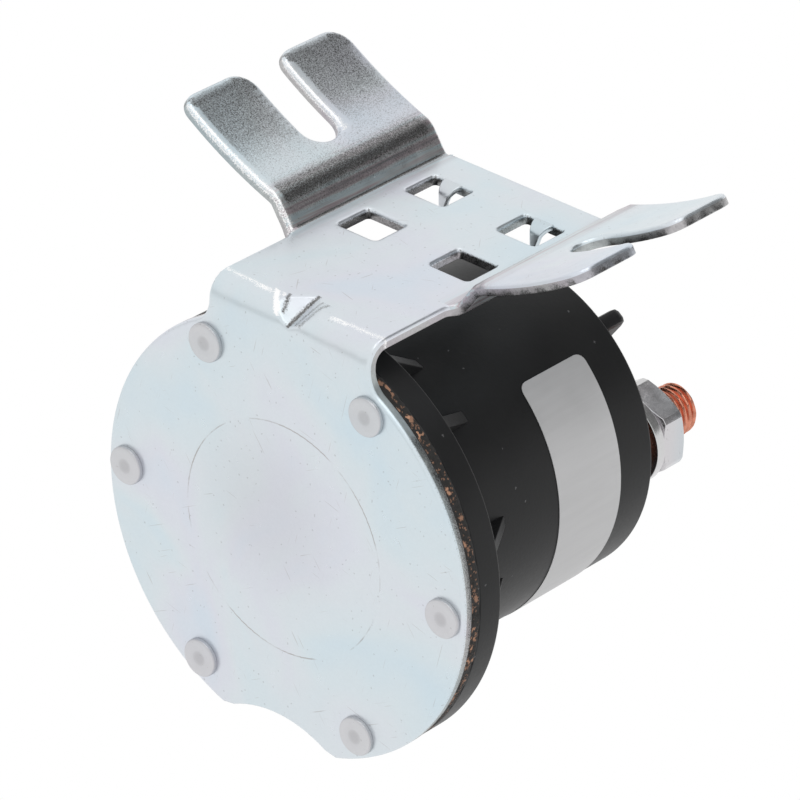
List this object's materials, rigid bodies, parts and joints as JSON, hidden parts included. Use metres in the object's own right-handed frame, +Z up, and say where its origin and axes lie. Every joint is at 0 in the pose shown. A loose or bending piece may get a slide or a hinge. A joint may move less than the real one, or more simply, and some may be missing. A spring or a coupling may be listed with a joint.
{
  "type": "dc contactor",
  "caption": "Bracket-mounted DC contactor: a riveted round moulded case under a folded plated steel bracket with slotted ears, and power studs at its far end.",
  "frame": {"origin": "middle of the bracket platform's upper face, on the line between the four square holes", "axes": "+Z up out of the platform; +Y from the cover towards the power studs; +X across the bracket to the right as seen from the cover"},
  "size_m": [0.0718, 0.066, 0.0786],
  "materials": {
    "zinc_steel": "satin zinc plate",
    "cork_rubber": "matt, flecked",
    "black_plastic": "satin",
    "label_foil": "satin",
    "bare_steel": "satin",
    "bobbin_plastic": "matt",
    "copper": "satin",
    "enamelled_copper": "glossy",
    "insulation": "matt",
    "black_rubber": "matt",
    "stem_brass": "satin"
  },
  "bodies": {
    "case": {"mounting_bracket": "zinc_steel", "cover_gasket": "cork_rubber", "cover_rivets": "zinc_steel", "housing": "black_plastic", "label": "label_foil", "yoke_cup": "bare_steel", "coil_bobbin": "bobbin_plastic", "coil_winding": "enamelled_copper", "flux_plate": "bare_steel", "fixed_core": "bare_steel", "contact_liner": "insulation", "plunger_bumper": "black_rubber", "return_spring": "bare_steel", "main_stud_left": "copper", "main_stud_right": "copper", "main_stud_seals": "black_rubber", "coil_stud_upper": "zinc_steel", "coil_stud_lower": "zinc_steel", "coil_lead_upper": "copper", "coil_lead_lower": "copper", "main_lock_washers": "zinc_steel", "main_nuts": "zinc_steel", "coil_lock_washers": "zinc_steel", "coil_nuts": "zinc_steel"},
    "plunger_group": {"plunger": "bare_steel", "plunger_stem": "stem_brass", "spring_seat": "bare_steel", "stem_clip": "bare_steel", "contact_spring": "bare_steel"},
    "contact_group": {"contact_bush": "insulation", "contact_disc": "copper", "contact_washer": "insulation"}
  },
  "joints": [
    {"name": "plunger_slide", "type": "slide", "parent": "case", "child": "plunger_group", "axis": [0, 1, 0], "range_m": [0, 0.0028], "stiffness_N_per_m": 350, "springref_m": -0.004, "deforming": ["return_spring"]},
    {"name": "contact_slide", "type": "slide", "parent": "plunger_group", "child": "contact_group", "axis": [0, 1, 0], "range_m": [-0.0008, 0], "deforming": ["contact_spring"]}
  ],
  "couplings": [
    {"joint": "contact_slide", "follows": "plunger_slide", "ratio": -0.2857}
  ]
}
